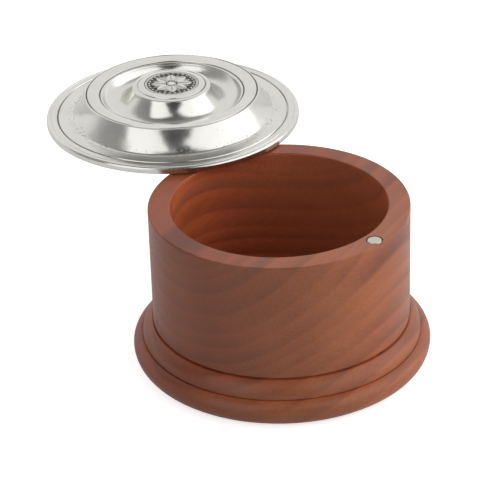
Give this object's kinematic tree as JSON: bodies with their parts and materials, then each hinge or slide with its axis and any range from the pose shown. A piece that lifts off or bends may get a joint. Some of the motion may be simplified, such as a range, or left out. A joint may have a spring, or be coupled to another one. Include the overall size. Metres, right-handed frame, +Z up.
{
  "type": "salt box with swivel lid",
  "caption": "Turned wooden salt box on a moulded round foot, with a domed cast lid that swivels aside on an upright pin and is caught by a rim magnet.",
  "frame": {"origin": "centre of the flat underside of the foot, on the table", "axes": "+Z up along the box's turned axis, +Y from that axis towards the lid's pivot pin, -Y towards the rim magnet"},
  "size_m": [0.1517, 0.2091, 0.0876],
  "materials": {
    "box_wood": "turned cherry wood, satin oil finish, reddish brown with growth-ring streaks",
    "lid_pewter": "cast pewter, turned and softly polished, with fine casting pits and darkened engraved lines",
    "medallion_pewter": "cast pewter relief with a dark antique patina in its hollows",
    "magnet_nickel": "nickel-plated disc magnet",
    "bush_brass": "drawn brass tube and washer, plain",
    "pin_steel": "ground stainless steel rod",
    "keeper_steel": "zinc-plated steel disc"
  },
  "bodies": {
    "box": {"box_body": "box_wood", "rim_magnet": "magnet_nickel", "pivot_bush": "bush_brass", "thrust_washer": "bush_brass"},
    "lid": {"lid": "lid_pewter", "lid_medallion": "medallion_pewter", "pivot_pin": "pin_steel", "lid_keeper": "keeper_steel"}
  },
  "joints": [
    {"name": "lid_swivel", "type": "hinge", "parent": "box", "child": "lid", "pos_m": [0, 0.0506, 0.0711], "axis": [0, 0, 1], "range_deg": [-140.5, 219.5]}
  ]
}
